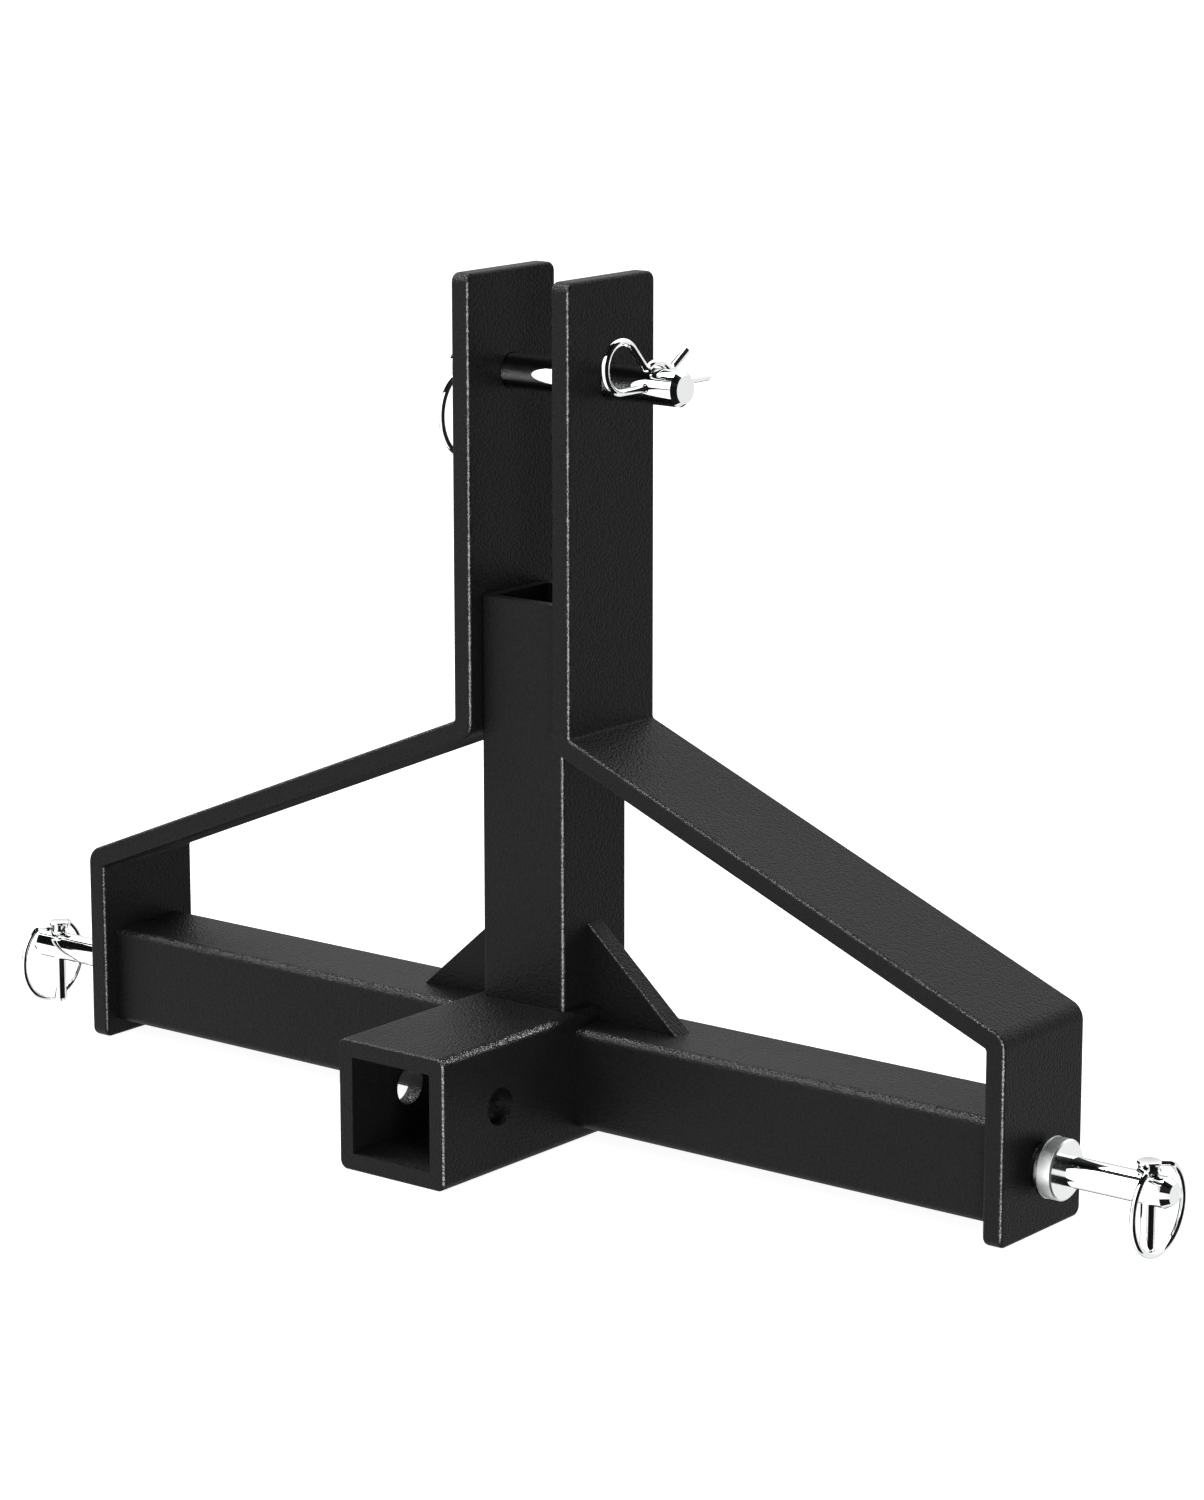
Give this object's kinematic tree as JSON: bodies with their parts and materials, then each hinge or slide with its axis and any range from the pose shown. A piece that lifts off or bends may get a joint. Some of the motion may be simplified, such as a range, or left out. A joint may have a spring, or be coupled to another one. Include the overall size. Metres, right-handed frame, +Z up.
{
  "type": "three point receiver hitch",
  "caption": "A-frame adapter that hangs on a tractor's three point linkage and carries a square receiver tube: bent flat bars over a square crossbar, with lower hitch pins and a top pin.",
  "frame": {"origin": "on the floor plane at the receiver tube's underside, straight below the middle of the crossbar", "axes": "+X along the crossbar to the right as seen from the receiver's mouth, +Y away from the mouth towards the tractor, +Z up"},
  "size_m": [0.7786, 0.1815, 0.4605],
  "materials": {
    "black_coat": "black fine-textured powder coat on steel",
    "chrome": "bright plated steel, polished",
    "zinc": "satin zinc-plated steel"
  },
  "bodies": {
    "frame": {"receiver_tube": "black_coat", "mast_column": "black_coat", "crossbar_left": "black_coat", "crossbar_right": "black_coat", "side_bar_left": "black_coat", "side_bar_right": "black_coat", "gusset_left": "black_coat", "gusset_right": "black_coat", "lower_pin_left": "chrome", "lower_pin_right": "chrome", "pin_boss_left": "black_coat", "pin_boss_right": "black_coat", "pin_washer_left": "zinc", "pin_washer_right": "zinc", "pin_collar_left": "zinc", "pin_collar_right": "zinc"},
    "top_pin": {"top_pin": "chrome", "hairpin_clip": "chrome"},
    "pull_ring": {"top_pin_ring": "chrome"},
    "linch_left": {"linch_pin_left": "chrome"},
    "linch_right": {"linch_pin_right": "chrome"},
    "hoop_left": {"linch_ring_left": "chrome"},
    "hoop_right": {"linch_ring_right": "chrome"}
  },
  "joints": [
    {"name": "top_pin_slide", "type": "slide", "parent": "frame", "child": "top_pin", "axis": [1, 0, 0], "range_m": [-0.0255, 0.014]},
    {"name": "pull_ring_swing", "type": "hinge", "parent": "top_pin", "child": "pull_ring", "pos_m": [-0.0562, 0, 0.4057], "axis": [0, 1, 0], "range_deg": [-17, 180]},
    {"name": "linch_lift_left", "type": "slide", "parent": "frame", "child": "linch_left", "axis": [0, 0, 1], "range_m": [0, 0.02]},
    {"name": "linch_lift_right", "type": "slide", "parent": "frame", "child": "linch_right", "axis": [0, 0, 1], "range_m": [0, 0.02]},
    {"name": "hoop_swing_left", "type": "hinge", "parent": "linch_left", "child": "hoop_left", "pos_m": [-0.374, 0, 0.0468], "axis": [0, 1, 0], "range_deg": [0, 250]},
    {"name": "hoop_swing_right", "type": "hinge", "parent": "linch_right", "child": "hoop_right", "pos_m": [0.374, 0, 0.0468], "axis": [0, -1, 0], "range_deg": [0, 250]}
  ]
}
